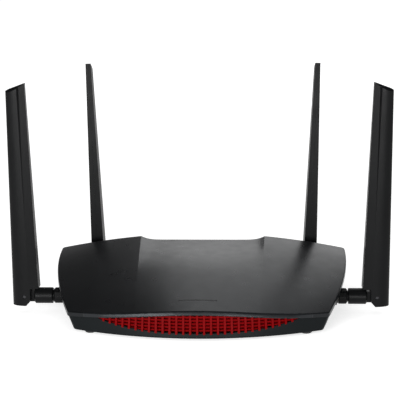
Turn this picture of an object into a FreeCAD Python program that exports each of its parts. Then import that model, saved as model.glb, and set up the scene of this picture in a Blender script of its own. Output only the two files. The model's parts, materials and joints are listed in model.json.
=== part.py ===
"""Wireless router with two side and two rear fold-and-swivel antennas.

Millimetres.  +X to the right, +Y to the rear, +Z up.  The origin lies on the table under the
middle of the whole object, so the feet stand on Z = 0.
"""
import FreeCAD, Part
import functools
import math
import os
import re
import Sketcher

doc = FreeCAD.newDocument("wireless_router")
sheet = doc.addObject("Spreadsheet::Sheet", "sizes")

DRIVING = {
    # plan outline of the top cover
    "body_depth": 133.5,
    "rear_half_width": 109.8,
    "front_half_width": 90.4,
    "corner_setback": 18.0,
    "side_bow": 5.3,
    "front_corner_radius": 3.5,
    "rear_corner_radius": 2.5,
    # heights of the sculpted top surface
    "crown_front": 20.8,
    "crown_rear": 40.6,
    "crown_bulge": 0.55,
    "edge_front": 14.4,
    "front_dip": 1.2,
    "edge_rear": 29.0,
    "edge_bulge": 0.82,
    "ridge_half_width": 48.0,
    "ridge_taper": 0.04,
    "valley_height": 35.5,
    "valley_flat_share": 0.80,
    "valley_start": 0.40,
    # top cover shell
    "cover_wall": 2.0,
    "skirt_drop": 3.0,
    "seat_gap": 0.3,
    "cover_edge_radius": 0.8,
    # bottom case shell
    "floor_height": 1.3,
    "case_wall": 2.2,
    "case_inset": 2.7,
    "case_front_inset": 0.1,
    "case_edge_radius": 1.0,
    "side_flare": 0.42,
    "front_toe": 1.4,
    "front_lean": 0.2,
    "case_corner_setback": 17.8,
    "case_bow": 4.3,
    "rim_clearance": 0.3,
    # front grille
    "grille_half_width": 71.0,
    "grille_end_height": 12.4,
    "grille_sill_height": 4.9,
    "grille_curve_power": 2.8,
    "grille_clearance": 0.15,
    "bar_pitch": 4.71,
    "bar_width": 1.5,
    "bar_depth": 2.7,
    "bar_proud": 0.6,
    "bar_lean": 0.15,
    "bar_foot_drop": 0.8,
    "slat_pitch": 2.36,
    "slat_height": 1.1,
    "slat_depth": 2.4,
    "slat_recess": 1.3,
    "grille_back": 0.8,
    # antenna connectors
    "side_jack_setback": 61.5,
    "side_jack_height": 12.4,
    "rear_jack_half_spacing": 84.2,
    "rear_jack_height": 15.2,
    "jack_radius": 4.0,
    "jack_flange_radius": 5.2,
    "jack_flange_length": 1.0,
    "jack_shank_radius": 3.2,
    "jack_shank_clearance": 0.1,
    "jack_tail_length": 7.0,
    "jack_nut_radius": 5.5,
    "jack_nut_length": 2.0,
    "jack_tail_radius": 2.4,
    "boss_radius": 6.6,
    "boss_depth": 8.5,
    "boss_rim": 0.6,
    "boss_mouth_radius": 6.2,
    "side_boss_reach": 98.6,
    # coupling nut
    "nut_radius": 5.8,
    "nut_length": 6.1,
    "nut_bore_clearance": 0.06,
    "nut_chamfer": 0.9,
    "nut_facets": 8,
    "nut_facet_relief": 0.25,
    # swivel barrel, measured outward from the antenna hinge pin
    "barrel_radius": 5.8,
    "barrel_start": 20.5,
    "barrel_end": 7.3,
    "barrel_chamfer": 0.8,
    "barrel_groove": 0.9,
    "spigot_length": 3.2,
    "tongue_half_thickness": 2.5,
    "tongue_radius": 4.0,
    "tongue_clearance": 0.25,
    "pin_radius": 1.25,
    "pin_clearance": 0.06,
    "nut_seat_gap": 0.3,
    "hinge_side_gap": 0.25,
    # antenna blade, measured from its hinge pin
    "blade_outer_foot": 9.0,
    "blade_outer_tip": 8.3,
    "blade_inner_foot": 10.9,
    "blade_inner_tip": 5.5,
    "blade_thick_foot": 12.0,
    "blade_thick_tip": 4.7,
    "blade_drop": 6.5,
    "blade_rise": 155.2,
    "blade_tip_fall": 5.0,
    "blade_cheek_inner": 4.5,
    "blade_step_height": 6.2,
    "blade_heel_rise": 3.6,
    "blade_heel_run": 3.2,
    "blade_wall": 1.6,
    "blade_edge_share": 0.86,
    "blade_nose_power": 0.8,
    "hollow_share": 0.24,
    "hollow_nose": 3.6,
    "tip_bevel": 0.4,
    "tip_bevel_angle": 50.0,
    "pin_seat": 0.03,
    "pin_length_share": 0.8,
    "groove_place": 0.36,
    "groove_width": 1.8,
    "groove_depth": 0.8,
    "groove_length_share": 0.86,
    "rear_lean": 1.64,
    # radiator strip inside each blade
    "radiator_start": 12.0,
    "radiator_length": 118.0,
    "radiator_width": 6.0,
    "radiator_thick": 0.8,
    "radiator_place": -1.0,
    "radiator_foot": 2.4,
    # rear panel and its ports
    "panel_half_width": 71.0,
    "panel_thick": 2.0,
    "panel_clearance": 0.1,
    "board_height": 7.4,
    "board_thick": 1.6,
    "board_half_width": 74.0,
    "board_depth": 92.0,
    "jack_cell_pitch": 14.0,
    "jack_cell_width": 11.9,
    "jack_cell_height": 7.4,
    "jack_block_height": 13.4,
    "jack_block_side": 0.8,
    "jack_block_depth": 18.0,
    "jack_floor": 3.2,
    "jack_cell_depth": 12.5,
    "latch_width": 5.4,
    "latch_height": 1.9,
    "port_clearance": 0.25,
    "lan_centre": 17.0,
    "wan_centre": -27.5,
    "usb_centre": -47.5,
    "usb_width": 14.5,
    "usb_height": 7.2,
    "usb_depth": 17.5,
    "usb_slot_width": 12.5,
    "usb_slot_height": 4.9,
    "usb_tongue_thick": 1.9,
    "usb_tongue_shy": 2.0,
    "usb_tongue_top": 0.6,
    "usb_tongue_side": 0.8,
    "inlet_centre": -61.5,
    "inlet_size": 9.5,
    "inlet_depth": 13.0,
    "inlet_bore_radius": 3.1,
    "inlet_pin_radius": 1.05,
    "inlet_back": 2.5,
    "rocker_centre": 58.5,
    "rocker_height": 18.0,
    "rocker_width": 9.0,
    "rocker_span": 13.0,
    "rocker_frame_wall": 1.5,
    "rocker_frame_depth": 12.0,
    "rocker_tilt": 8.0,
    "rocker_face": 1.2,
    "rocker_play": 0.3,
    "rocker_flange": 0.8,
    "rocker_heel_depth": 4.5,
    "rocker_heel_half": 3.4,
    "rocker_pivot_depth": 0.6,
    "rocker_pivot_radius": 0.9,
    "rocker_pivot_length": 1.3,
    "rear_vent_count": 15,
    "rear_vent_pitch": 6.0,
    "rear_vent_width": 2.2,
    "rear_vent_height": 4.5,
    "rear_vent_low": 26.5,
    "wps_centre": -15.6,
    "wps_height": 13.4,
    "wps_radius": 2.6,
    "wps_travel": 0.8,
    "wps_proud": 1.2,
    "reset_centre": -37.8,
    "reset_height": 12.4,
    "reset_radius": 1.0,
    "reset_travel": 0.5,
    "reset_depth": 1.2,
    "button_flange": 1.0,
    "button_flange_thick": 0.9,
    "button_gap": 0.3,
    "button_stem": 4.0,
    "button_stem_radius": 1.2,
    "button_edge": 0.4,
    "switch_width": 4.0,
    "switch_depth": 3.6,
    "switch_over": 2.0,
    # feet and fasteners
    "post_front_half_spacing": 78.0,
    "post_front_setback": 38.0,
    "post_rear_half_spacing": 86.0,
    "post_rear_setback": 24.0,
    "post_top": 14.0,
    "screw_bite": 5.0,
    "screw_sink": 1.9,
    "screw_clearance": 0.2,
    "board_post_inset": 5.0,
    "foot_recess": 0.6,
    "foot_clearance": 0.1,
    "foot_edge": 0.5,
    "vent_count": 9,
    "vent_centre": 30.0,
    "vent_pitch": 5.0,
    "vent_width": 2.0,
    "vent_length": 34.0,
    "vent_middle": -12.0,
    "foot_radius": 4.0,
    "foot_front_half_spacing": 74.6,
    "foot_rear_half_spacing": 82.0,
    "foot_front_setback": 18.0,
    "foot_rear_setback": 12.0,
    "screw_radius": 1.4,
    "screw_head_radius": 2.7,
    "screw_head_height": 1.6,
    "post_radius": 3.4,
    # cooling and shielding on the board
    "processor_size": 17.0,
    "processor_thick": 1.4,
    "pad_thick": 0.6,
    "sink_width": 46.0,
    "sink_depth": 38.0,
    "sink_base": 2.2,
    "sink_height": 11.0,
    "fin_pitch": 4.6,
    "fin_thick": 1.3,
    "can_width": 30.0,
    "can_depth": 24.0,
    "can_height": 3.2,
    "sink_middle": -12.0,
    "sink_centre": 30.0,
    "radio_sink_width": 34.0,
    "radio_sink_height": 7.0,
    "can_centre": 30.0,
    "can_middle": -58.0,
    # status light
    "light_width": 26.0,
    "light_depth": 0.9,
    "light_setback": 14.4,
    "light_length": 12.0,
    "lamp_size": 2.4,
    "lamp_gap": 0.6,
    "lamp_height": 1.2,
    "lamp_count": 5,
    "lamp_pitch": 5.0,
    "lamp_board_width": 30.0,
    "lamp_board_depth": 8.0,
    "lamp_board_thick": 1.2,
    "lamp_post_half_spacing": 11.0,
}
DERIVED = {
    "hinge_stack": "barrel_start + barrel_groove + nut_length + nut_seat_gap + jack_flange_length",
    "rear_wall_reach": "hinge_stack + blade_outer_foot - case_inset",
    "front_place": "front_toe - (body_depth + front_toe + rear_wall_reach) / 2",
    "rear_place": "front_place + body_depth",
    "rear_wall_place": "rear_place - case_inset",
    "floor_top": "floor_height + case_wall",
    "board_top": "board_height + board_thick",
    "board_rear": "rear_wall_place - panel_thick - seat_gap",
    "side_jack_place": "front_place + side_jack_setback",
    "light_place": "front_place + light_setback",
}


def fill_sheet():
    """Write every driving size as a plain number, then the sizes worked out from them."""
    row = 1
    for alias, number in DRIVING.items():
        sheet.set("A%d" % row, alias)
        sheet.set("B%d" % row, str(number))
        sheet.setAlias("B%d" % row, alias)
        row += 1
    for alias, formula in DERIVED.items():
        sheet.set("A%d" % row, alias)
        sheet.set("B%d" % row, "=" + formula)
        sheet.setAlias("B%d" % row, alias)
        row += 1
    doc.recompute()


fill_sheet()
ALIASES = set(DRIVING) | set(DERIVED)
NODES = []


def linked(text):
    """Turn bare size names in an expression into references to the sheet."""
    return re.sub(r"[a-z]\w*", lambda word: "sizes." + word[0] if word[0] in ALIASES else word[0],
                  str(text))


@functools.lru_cache(maxsize=None)
def value(text):
    """The present number of an expression in size names."""
    return float(sheet.evalExpression(linked(text)))


def bind(item, target, text):
    item.setExpression(target, linked(text))


def publish(item, label):
    """Name a finished sub-part and put it on the list to be written."""
    item.Label = label
    NODES.append(item)
    return item


def vector(x, y, z):
    return FreeCAD.Vector(x, y, z)


# ---------------------------------------------------------------- primitives and booleans

def set_base(item, place):
    for axis, text in zip("xyz", place):
        bind(item, "Placement.Base." + axis, text)


def box(corner, size):
    """A block from its lowest corner and its three lengths, all as expressions."""
    item = doc.addObject("Part::Box", "block")
    for side, text in zip(("Length", "Width", "Height"), size):
        bind(item, side, text)
    set_base(item, corner)
    return item


def middle_box(centre, size):
    """A block centred on X, from its rear face forward and from its underside up."""
    across, rear, low = centre
    wide, deep, high = size
    corner = ("%s - (%s) / 2" % (across, wide), "%s - (%s)" % (rear, deep), low)
    return box(corner, size)


TURN = {"Z": FreeCAD.Rotation(),
        "X": FreeCAD.Rotation(FreeCAD.Vector(0, 1, 0), 90),
        "Y": FreeCAD.Rotation(FreeCAD.Vector(1, 0, 0), -90)}


def rod(start, radius, length, along="Z"):
    """A cylinder from the centre of its first end, pointing along +X, +Y or +Z."""
    item = doc.addObject("Part::Cylinder", "rod")
    bind(item, "Radius", radius)
    bind(item, "Height", length)
    item.Placement = FreeCAD.Placement(FreeCAD.Vector(), TURN[along])
    set_base(item, start)
    return item


def fuse(*items):
    joined = doc.addObject("Part::MultiFuse", "union")
    joined.Shapes = list(items)
    return joined


def cut(base, *tools):
    result = doc.addObject("Part::Cut", "difference")
    result.Base = base
    result.Tool = tools[0] if len(tools) == 1 else fuse(*tools)
    return result


def common(first, second):
    shared = doc.addObject("Part::Common", "shared")
    shared.Base = first
    shared.Tool = second
    return shared


def held(shape):
    """A feature that carries a free-form shape made with Part's own functions."""
    item = doc.addObject("Part::Feature", "form")
    item.Shape = shape
    return item


# ---------------------------------------------------------------- sketched bodies

def sketch(body, role, outlines):
    """A sketch of closed polygons whose corners are bound to expressions."""
    drawn = body.newObject("Sketcher::SketchObject", "profile")
    plane = [face for face in body.Origin.OriginFeatures if face.Role == role][0]
    drawn.AttachmentSupport = [(plane, "")]
    drawn.MapMode = "FlatFace"
    for corners in outlines:
        add_polygon(drawn, corners)
    return drawn


def add_polygon(drawn, corners):
    first = drawn.GeometryCount
    spots = [vector(value(across), value(up), 0) for across, up in corners]
    count = len(spots)
    for index in range(count):
        drawn.addGeometry(Part.LineSegment(spots[index], spots[(index + 1) % count]), False)
    for index in range(count):
        following = first + (index + 1) % count
        drawn.addConstraint(Sketcher.Constraint("Coincident", first + index, 2, following, 1))
    for index, corner in enumerate(corners):
        for kind, text in zip(("DistanceX", "DistanceY"), corner):
            rule = Sketcher.Constraint(kind, first + index, 1, value(text))
            number = drawn.addConstraint(rule)
            bind(drawn, "Constraints[%d]" % number, text)


def turned(corners):
    """A body of revolution about Z from (radius, height) corners."""
    body = doc.addObject("PartDesign::Body", "turned")
    drawn = sketch(body, "XZ_Plane", [corners])
    spun = body.newObject("PartDesign::Revolution", "spin")
    spun.Profile = drawn
    spun.ReferenceAxis = (drawn, ["V_Axis"])
    spun.Angle = 360
    return body


def padded(role, outlines, length):
    """A plate or prism from closed polygons, thickened evenly about its sketch plane."""
    body = doc.addObject("PartDesign::Body", "plate")
    drawn = sketch(body, role, outlines)
    pad = body.newObject("PartDesign::Pad", "pad")
    pad.Profile = drawn
    pad.Midplane = True
    bind(pad, "Length", length)
    return body


# ---------------------------------------------------------------- plan outlines

def bow_point(start, end, bow):
    """The middle of an arc from start to end that bulges to the right of the way by bow."""
    along = end.sub(start)
    side = vector(along.y, -along.x, 0).normalize()
    return start.add(along * 0.5).add(side * bow)


def plan_wire(front_y, corner, rear, bow, height):
    """Closed outline: bowed front, two bowed sides and a straight rear edge."""
    right = vector(corner[0], corner[1], height)
    left = vector(-corner[0], corner[1], height)
    rear_right = vector(rear[0], rear[1], height)
    rear_left = vector(-rear[0], rear[1], height)
    edges = [Part.Arc(left, vector(0, front_y, height), right).toShape(),
             Part.Arc(right, bow_point(right, rear_right, bow), rear_right).toShape(),
             Part.LineSegment(rear_right, rear_left).toShape(),
             Part.Arc(rear_left, bow_point(rear_left, left, bow), left).toShape()]
    return Part.Wire(edges)


def cover_wire(inset):
    """The top cover's outline on Z = 0, drawn in by inset."""
    front = value("front_place")
    wire = plan_wire(front,
                     (value("front_half_width"), front + value("corner_setback")),
                     (value("rear_half_width"), value("rear_place")),
                     value("side_bow"), 0)
    return wire.makeOffset2D(-inset, 2) if inset else wire


def case_wire(height, inset):
    """The bottom case's outline at a height: its sides flare and its front leans back."""
    rise = height - value("floor_height")
    front = value("front_place - front_toe") + value("front_lean") * rise
    corner_y = value("front_place + case_corner_setback") + value("front_lean") * rise
    drop = value("skirt_drop + floor_height")
    flare = value("side_flare")
    front_half = value("front_half_width - case_front_inset")
    front_half -= flare * (value("edge_front") - drop - rise)
    rear_half = value("rear_half_width - case_inset")
    rear_half -= flare * (value("edge_rear") - drop - rise)
    wire = plan_wire(front, (front_half, corner_y), (rear_half, value("rear_wall_place")),
                     value("case_bow"), height)
    return wire.makeOffset2D(-inset, 2) if inset else wire


def corner_edges(solid, tall, at_rear):
    """The edges that climb the full height of a walled body at its rear or front corners."""
    middle = value("(front_place + rear_place) / 2")
    found = []
    for edge in solid.Edges:
        ends = [point.Point for point in edge.Vertexes]
        full = len(ends) == 2 and abs(abs(ends[0].z - ends[1].z) - tall) < 0.001 * tall
        if full and (ends[0].y > middle) == at_rear:
            found.append(edge)
    return found


def rounded(solid, front_radius, rear_radius):
    """Round the four corner edges of a body whose walls stand on a plan outline."""
    tall = solid.BoundBox.ZLength
    solid = solid.makeFillet(front_radius, corner_edges(solid, tall, False))
    return solid.makeFillet(rear_radius, corner_edges(solid, tall, True))


def cover_prism(inset):
    """A tall prism on the cover's outline, with its corner radii drawn in alike."""
    tall = Part.Face(cover_wire(inset)).extrude(vector(0, 0, 2 * value("crown_rear")))
    return rounded(tall, value("front_corner_radius") - inset,
                   max(value("rear_corner_radius") - inset, value("rear_corner_radius") / 2))


# ---------------------------------------------------------------- sculpted top surface

def half_width(place):
    """Half the width of the cover's sides, which are arcs, at a place along Y."""
    start = vector(value("front_half_width"), value("front_place + corner_setback"), 0)
    end = vector(value("rear_half_width"), value("rear_place"), 0)
    circle = Part.Circle(start, bow_point(start, end, value("side_bow")), end)
    return circle.Center.x + math.sqrt(circle.Radius ** 2 - (place - circle.Center.y) ** 2)


def eased(start, end, bulge, share):
    """A rise from start to end that bulges above the straight line."""
    return start + (end - start) * (share + bulge * share * (1 - share))


def dome_height(across, place):
    """The dome: a crowned middle line falling to the side edges as a parabola.

    Near the front it dips a little on each side, so the lip waves from corner to corner.
    """
    share = (place - value("front_place")) / value("body_depth")
    crown = eased(value("crown_front"), value("crown_rear"), value("crown_bulge"), share)
    side_start = value("front_place + corner_setback")
    side_share = (place - side_start) / (value("rear_place") - side_start)
    edge = eased(value("edge_front"), value("edge_rear"), value("edge_bulge"), side_share)
    spread = (across / half_width(place)) ** 2
    dip = value("front_dip") * max(1 - share, 0) ** 3 * 4 * spread * max(1 - spread, 0)
    return crown - (crown - edge) * spread - dip


def ridge_place(place):
    """Half the spacing of the two ridges, which draw together towards the front."""
    return value("ridge_half_width") - value("ridge_taper") * (value("rear_place") - place)


def top_height(across, place):
    """The dome with a shallow valley that opens between the ridges towards the rear."""
    ridge = ridge_place(place)
    dome = dome_height(across, place)
    if abs(across) >= ridge:
        return dome
    share = (place - value("front_place")) / value("body_depth")
    opened = min(max((share - value("valley_start")) / (1 - value("valley_start")), 0), 1)
    opened = opened * opened * (3 - 2 * opened)
    rear_ridge = dome_height(value("ridge_half_width"), value("rear_place"))
    depth = rear_ridge - value("valley_height")
    flat = value("valley_flat_share")
    climb = min(max((abs(across) / ridge - flat) / (1 - flat), 0), 1)
    floor = dome_height(ridge, place) - depth * (1 - climb ** 2)
    return opened * floor + (1 - opened) * dome


def knot_steps(count):
    """Clamped uniform knots and the places of the poles for a cubic of that many poles."""
    spans = count - 3
    knots = [index / spans for index in range(spans + 1)]
    row = [0.0] * 3 + knots + [1.0] * 3
    places = [(row[index + 1] + row[index + 2] + row[index + 3]) / 3 for index in range(count)]
    repeats = [4] + [1] * (spans - 1) + [4]
    return knots, repeats, places


def top_patch(left, right, columns, rows=14):
    """One smooth patch of the top surface between two lines given as functions of Y."""
    knots_x, repeats_x, steps_x = knot_steps(columns)
    knots_y, repeats_y, steps_y = knot_steps(rows)
    margin = value("corner_setback") / 2
    first = value("front_place") - margin
    last = value("rear_place") + margin
    poles = []
    for step_x in steps_x:
        line = []
        for step_y in steps_y:
            place = first + (last - first) * step_y
            across = left(place) + (right(place) - left(place)) * step_x
            line.append(vector(across, place, top_height(across, place)))
        poles.append(line)
    surface = Part.BSplineSurface()
    surface.buildFromPolesMultsKnots(poles, repeats_x, repeats_y, knots_x, knots_y,
                                     False, False, 3, 3)
    return surface.toShape()


def outer_place(place):
    """A line safely outside the cover's side."""
    return half_width(place) + value("corner_setback") / 2


TOP_PATCHES = [top_patch(lambda place: -outer_place(place), lambda place: -ridge_place(place), 7),
               top_patch(lambda place: -ridge_place(place), ridge_place, 16),
               top_patch(ridge_place, outer_place, 7)]


def layer(upper, lower):
    """The space between two copies of the top surface, upper and lower below it."""
    blocks = []
    for patch in TOP_PATCHES:
        face = patch.copy()
        face.translate(vector(0, 0, -upper))
        blocks.append(face.extrude(vector(0, 0, upper - lower)))
    return blocks[0].fuse(blocks[1:])


def under_cover(gap):
    """Everything more than gap below the top surface."""
    return layer(gap, gap + 2 * value("crown_rear"))


# ---------------------------------------------------------------- top cover and bottom case

RIM_SAMPLES = 5


def screw_posts():
    """The middles of the four posts that join the cover to the case."""
    front = value("front_place + post_front_setback")
    rear = value("rear_place - post_rear_setback")
    spots = []
    for side in (-1, 1):
        spots.append((side * value("post_front_half_spacing"), front))
        spots.append((side * value("post_rear_half_spacing"), rear))
    return spots


def column(spot, low, high, radius):
    """An upright cylinder on a plan point."""
    return Part.makeCylinder(radius, high - low, vector(spot[0], spot[1], low))


def light_slot(spare, upper, lower):
    """The bar of the status light, following the top surface, with spare room all round."""
    wide = value("light_width") + 2 * spare
    deep = value("light_depth") + 2 * spare
    corner = vector(-wide / 2, value("light_place") - deep / 2, 0)
    bar = Part.makeBox(wide, deep, value("crown_rear"), corner)
    return bar.common(layer(upper, lower))


def rim_edges(solid):
    """The edges where the sculpted top meets the skirt all round."""
    found = []
    for edge in solid.Edges:
        points = edge.discretize(RIM_SAMPLES)
        high = all(abs(point.z - top_height(point.x, point.y)) < value("seat_gap") for point in points)
        kinds = {face.Surface.TypeId for face in solid.ancestorsOfType(edge, Part.Face)}
        if high and len(kinds) == 2:
            found.append(edge)
    return found


def top_cover():
    wall = value("cover_wall")
    skirt = value("skirt_drop")
    skin = cover_prism(0).common(layer(0, skirt)).Solids[0]
    skin = skin.makeFillet(value("cover_edge_radius"), rim_edges(skin))
    skin = skin.cut(cover_prism(wall).common(layer(wall, skirt + wall)))
    posts = [column(spot, value("post_top + seat_gap"), value("crown_rear"), value("post_radius"))
             for spot in screw_posts()]
    posts = Part.makeCompound(posts).common(under_cover(wall / 2))
    skin = skin.fuse(posts.Solids)
    pilots = [column(spot, 0, value("post_top + screw_bite"), value("screw_radius"))
              for spot in screw_posts()]
    slot = light_slot(value("seat_gap") / 2, -wall, 2 * wall)
    return skin.cut(pilots + [slot])


def case_solid(inset, low):
    """The flared body of the case from a height upward, drawn in by inset."""
    high = value("crown_rear")
    shape = Part.makeLoft([case_wire(low, inset), case_wire(high, inset)], True, True)
    front_radius = max(value("front_corner_radius") - inset, value("cover_wall"))
    rear_radius = max(value("rear_corner_radius") - inset, value("cover_wall") / 2)
    return rounded(shape, front_radius, rear_radius)


def lens_curve():
    """The curve of the grille's lower edge: flat in the middle, rising to its ends."""
    half = value("grille_half_width")
    sill = value("grille_sill_height")
    rise = value("grille_end_height") - sill
    points = []
    steps = 12
    for index in range(-steps, steps + 1):
        share = index / steps
        height = sill + rise * abs(share) ** value("grille_curve_power")
        points.append(vector(half * share, 0, height))
    curve = Part.BSplineCurve()
    curve.interpolate(points)
    return curve


def lens_prism(clear):
    """The space of the front opening: above the sill curve, between its ends."""
    curve = lens_curve()
    left = curve.StartPoint
    right = curve.EndPoint
    top = vector(0, 0, value("crown_rear"))
    outline = Part.Wire([curve.toShape(),
                         Part.LineSegment(right, right + top).toShape(),
                         Part.LineSegment(right + top, left + top).toShape(),
                         Part.LineSegment(left + top, left).toShape()])
    depth = value("corner_setback * 1.6")
    prism = Part.Face(outline).extrude(vector(0, depth, 0))
    prism.translate(vector(0, value("front_place - 2 * front_toe"), clear))
    return prism


JACKS = {"left": (-1, False), "right": (1, False), "rear_left": (-1, True), "rear_right": (1, True)}


def jack_frame(name):
    """Where an antenna connector leaves the case: its +X runs outward along the connector."""
    side, rear = JACKS[name]
    if rear:
        place = vector(side * value("rear_jack_half_spacing"), value("rear_wall_place"),
                       value("rear_jack_height"))
        turn = FreeCAD.Rotation(vector(0, 0, 1), 90)
        lean = FreeCAD.Rotation(vector(1, 0, 0), side * value("rear_lean"))
        return FreeCAD.Placement(place, turn.multiply(lean))
    place = vector(side * value("side_boss_reach"), value("side_jack_place"),
                   value("side_jack_height"))
    turn = FreeCAD.Rotation(vector(0, 0, 1), 0 if side > 0 else 180)
    return FreeCAD.Placement(place, turn)


def along_jack(name, start, length, radius):
    """A cylinder on a connector's axis, start and length measured outward from its seat."""
    tube = Part.makeCylinder(radius, length, vector(start, 0, 0), vector(1, 0, 0))
    tube.Placement = jack_frame(name)
    return tube


def side_boss(name, filled):
    """The seat of a side connector: a stub inside the wall and a rim round its sunk mouth."""
    reach = value("boss_depth")
    stub = along_jack(name, -reach, reach, value("boss_radius"))
    rim = along_jack(name, 0, reach, value("boss_radius + boss_rim"))
    return stub.fuse(rim.common(filled))


def bottom_case():
    floor = value("floor_height")
    wall = value("case_wall")
    skin = value("cover_wall + seat_gap")
    butt = value("skirt_drop + seat_gap")
    outer = case_solid(0, floor)
    low_edges = [edge for edge in outer.Edges
                 if max(point.Z for point in edge.Vertexes) < floor + value("seat_gap")]
    outer = outer.makeFillet(value("case_edge_radius"), low_edges)
    rim = cover_prism(value("cover_wall + rim_clearance")).common(under_cover(skin))
    filled = outer.common(under_cover(butt)).fuse(outer.common(rim))
    shell = filled.cut(case_solid(wall, floor + wall))
    for name in ("left", "right"):
        shell = shell.fuse(side_boss(name, filled))
        shell = shell.cut(along_jack(name, 0, 4 * wall, value("boss_mouth_radius")))
    half = value("panel_half_width + panel_clearance")
    window = Part.makeBox(2 * half, 4 * wall, value("crown_rear"),
                          vector(-half, value("rear_wall_place") - 2 * wall, floor + wall))
    tools = [lens_prism(0), window]
    hole = value("jack_shank_radius + jack_shank_clearance")
    reach = value("boss_depth") + wall
    for name in JACKS:
        tools.append(along_jack(name, -reach, reach + wall, hole))
    shell = shell.cut(tools)
    posts = [column(spot, floor + wall / 2, value("post_top"), value("post_radius"))
             for spot in screw_posts()]
    posts += [column(spot, floor + wall / 2, value("board_height"), value("post_radius"))
              for spot in board_posts()]
    seat = lamp_seat() - value("lamp_board_thick")
    posts += [column((side * value("lamp_post_half_spacing"), value("light_place")),
                     floor + wall / 2, seat, value("post_radius")) for side in (-1, 1)]
    shell = shell.fuse(posts)
    bores = []
    for spot in screw_posts():
        bores.append(column(spot, 0, value("post_top + 1"), value("screw_radius + screw_clearance")))
        bores.append(column(spot, 0, value("floor_height + screw_sink"),
                            value("screw_head_radius + screw_clearance")))
    for spot in board_posts():
        bores.append(column(spot, value("board_height - screw_bite"), value("board_height + 1"),
                            value("screw_radius")))
    for spot in foot_spots():
        bores.append(column(spot, 0, value("floor_height + foot_recess"),
                            value("foot_radius + foot_clearance")))
    return shell.cut(bores + floor_vents())


def lamp_seat():
    """The height of the small lamp board's upper face, under the light guide and its lamps."""
    top = dome_height(0, value("light_place"))
    return top - value("light_length + lamp_gap + lamp_height")


def board_posts():
    """The middles of the four posts that carry the circuit board."""
    across = value("board_half_width - board_post_inset")
    rear = value("board_rear - board_post_inset")
    front = value("board_rear - board_depth + board_post_inset")
    return [(side * across, place) for side in (-1, 1) for place in (front, rear)]


def foot_spots():
    front = value("front_place + foot_front_setback")
    rear = value("rear_place - foot_rear_setback")
    return [(-value("foot_front_half_spacing"), front), (value("foot_front_half_spacing"), front),
            (-value("foot_rear_half_spacing"), rear), (value("foot_rear_half_spacing"), rear)]


def floor_vents():
    """Two fields of cooling slots through the floor, under the heat sinks."""
    slots = []
    count = int(value("vent_count"))
    for side in (-1, 1):
        for index in range(count):
            across = side * value("vent_centre") + (index - (count - 1) / 2) * value("vent_pitch")
            corner = vector(across - value("vent_width") / 2,
                            value("vent_middle - vent_length / 2"), 0)
            slots.append(Part.makeBox(value("vent_width"), value("vent_length"),
                                      value("floor_top + 1"), corner))
    return slots


publish(held(top_cover()), "top_cover")
publish(held(bottom_case()), "bottom_case")


# ---------------------------------------------------------------- front grille

def front_circle():
    """The arc of the case's front at sill height, as a centre place and a radius."""
    wire = case_wire(value("grille_sill_height"), 0)
    front = wire.Edges[0]
    return front.Curve.Center.y, front.Curve.Radius


def grille_band(front_gap, depth, low, high):
    """A thin curved slab behind the front arc, from front_gap to front_gap + depth."""
    centre, radius = front_circle()
    outer = Part.makeCylinder(radius - front_gap, high - low, vector(0, centre, low))
    return outer.cut(Part.makeCylinder(radius - front_gap - depth, high - low,
                                       vector(0, centre, low)))


def grille_bars():
    """The upright bars, each standing square to the arc and leaning back with the case."""
    centre, radius = front_circle()
    sill = value("grille_sill_height")
    pitch = value("bar_pitch") / radius
    count = int(value("(grille_half_width - bar_width) / bar_pitch"))
    lean = math.degrees(math.atan(value("bar_lean")))
    wide = value("bar_width")
    bars = []
    for index in range(-count, count + 1):
        bar = Part.makeBox(wide, value("bar_depth"), value("crown_rear"), vector(-wide / 2, 0, 0))
        bar.rotate(vector(0, 0, sill), vector(1, 0, 0), -lean)
        bar.translate(vector(0, centre - radius - value("bar_proud"), 0))
        bar.rotate(vector(0, centre, 0), vector(0, 0, 1), math.degrees(index * pitch))
        bars.append(bar)
    return bars


def grille_core():
    """A stack of curved slats on a curved backing, as tall as the opening needs."""
    recess = value("slat_recess")
    slats = []
    height = value("grille_sill_height - slat_height")
    while height < value("crown_front"):
        slats.append(grille_band(recess, value("slat_depth"), height,
                                 height + value("slat_height")))
        height += value("slat_pitch")
    backing = grille_band(value("slat_recess + slat_depth"), value("grille_back"), 0,
                          2 * value("crown_front"))
    return backing.multiFuse(slats)


def front_grille():
    """The slats behind a row of upright bars, whose feet lap over the lower lip of the case."""
    clear = value("grille_clearance")
    opening = lens_prism(clear)
    ceiling = under_cover(value("skirt_drop") + clear)
    core = grille_core().common(opening).common(ceiling)
    wall = case_solid(-clear, value("floor_height")).cut(opening)
    bars = Part.makeCompound(grille_bars()).common(lens_prism(clear - value("bar_foot_drop")))
    bars = bars.cut(wall).common(ceiling)
    whole = core.multiFuse(bars.Solids)
    return max(whole.Solids, key=lambda solid: solid.Volume)


publish(held(front_grille()), "front_grille")


# ---------------------------------------------------------------- rear panel and its ports

def port_hole(across, low, wide, high):
    """A square hole through the rear panel, with clearance round the part that fills it."""
    gap = "port_clearance"
    corner = ("%s - (%s) / 2 - %s" % (across, wide, gap), "rear_wall_place - 2 * panel_thick",
              "%s - %s" % (low, gap))
    return box(corner, ("%s + 2 * %s" % (wide, gap), "3 * panel_thick",
                        "%s + 2 * %s" % (high, gap)))


def round_hole(across, height, radius):
    start = (across, "rear_wall_place - 2 * panel_thick", height)
    return rod(start, radius, "3 * panel_thick", "Y")


LAN_WIDE = "4 * jack_cell_pitch + 2 * jack_block_side"
WAN_WIDE = "jack_cell_pitch + 2 * jack_block_side"
ROCKER_WIDE = "rocker_width + 2 * rocker_frame_wall"
ROCKER_HIGH = "rocker_span + 2 * rocker_frame_wall"
ROCKER_LOW = "rocker_height - (%s) / 2" % ROCKER_HIGH


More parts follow.
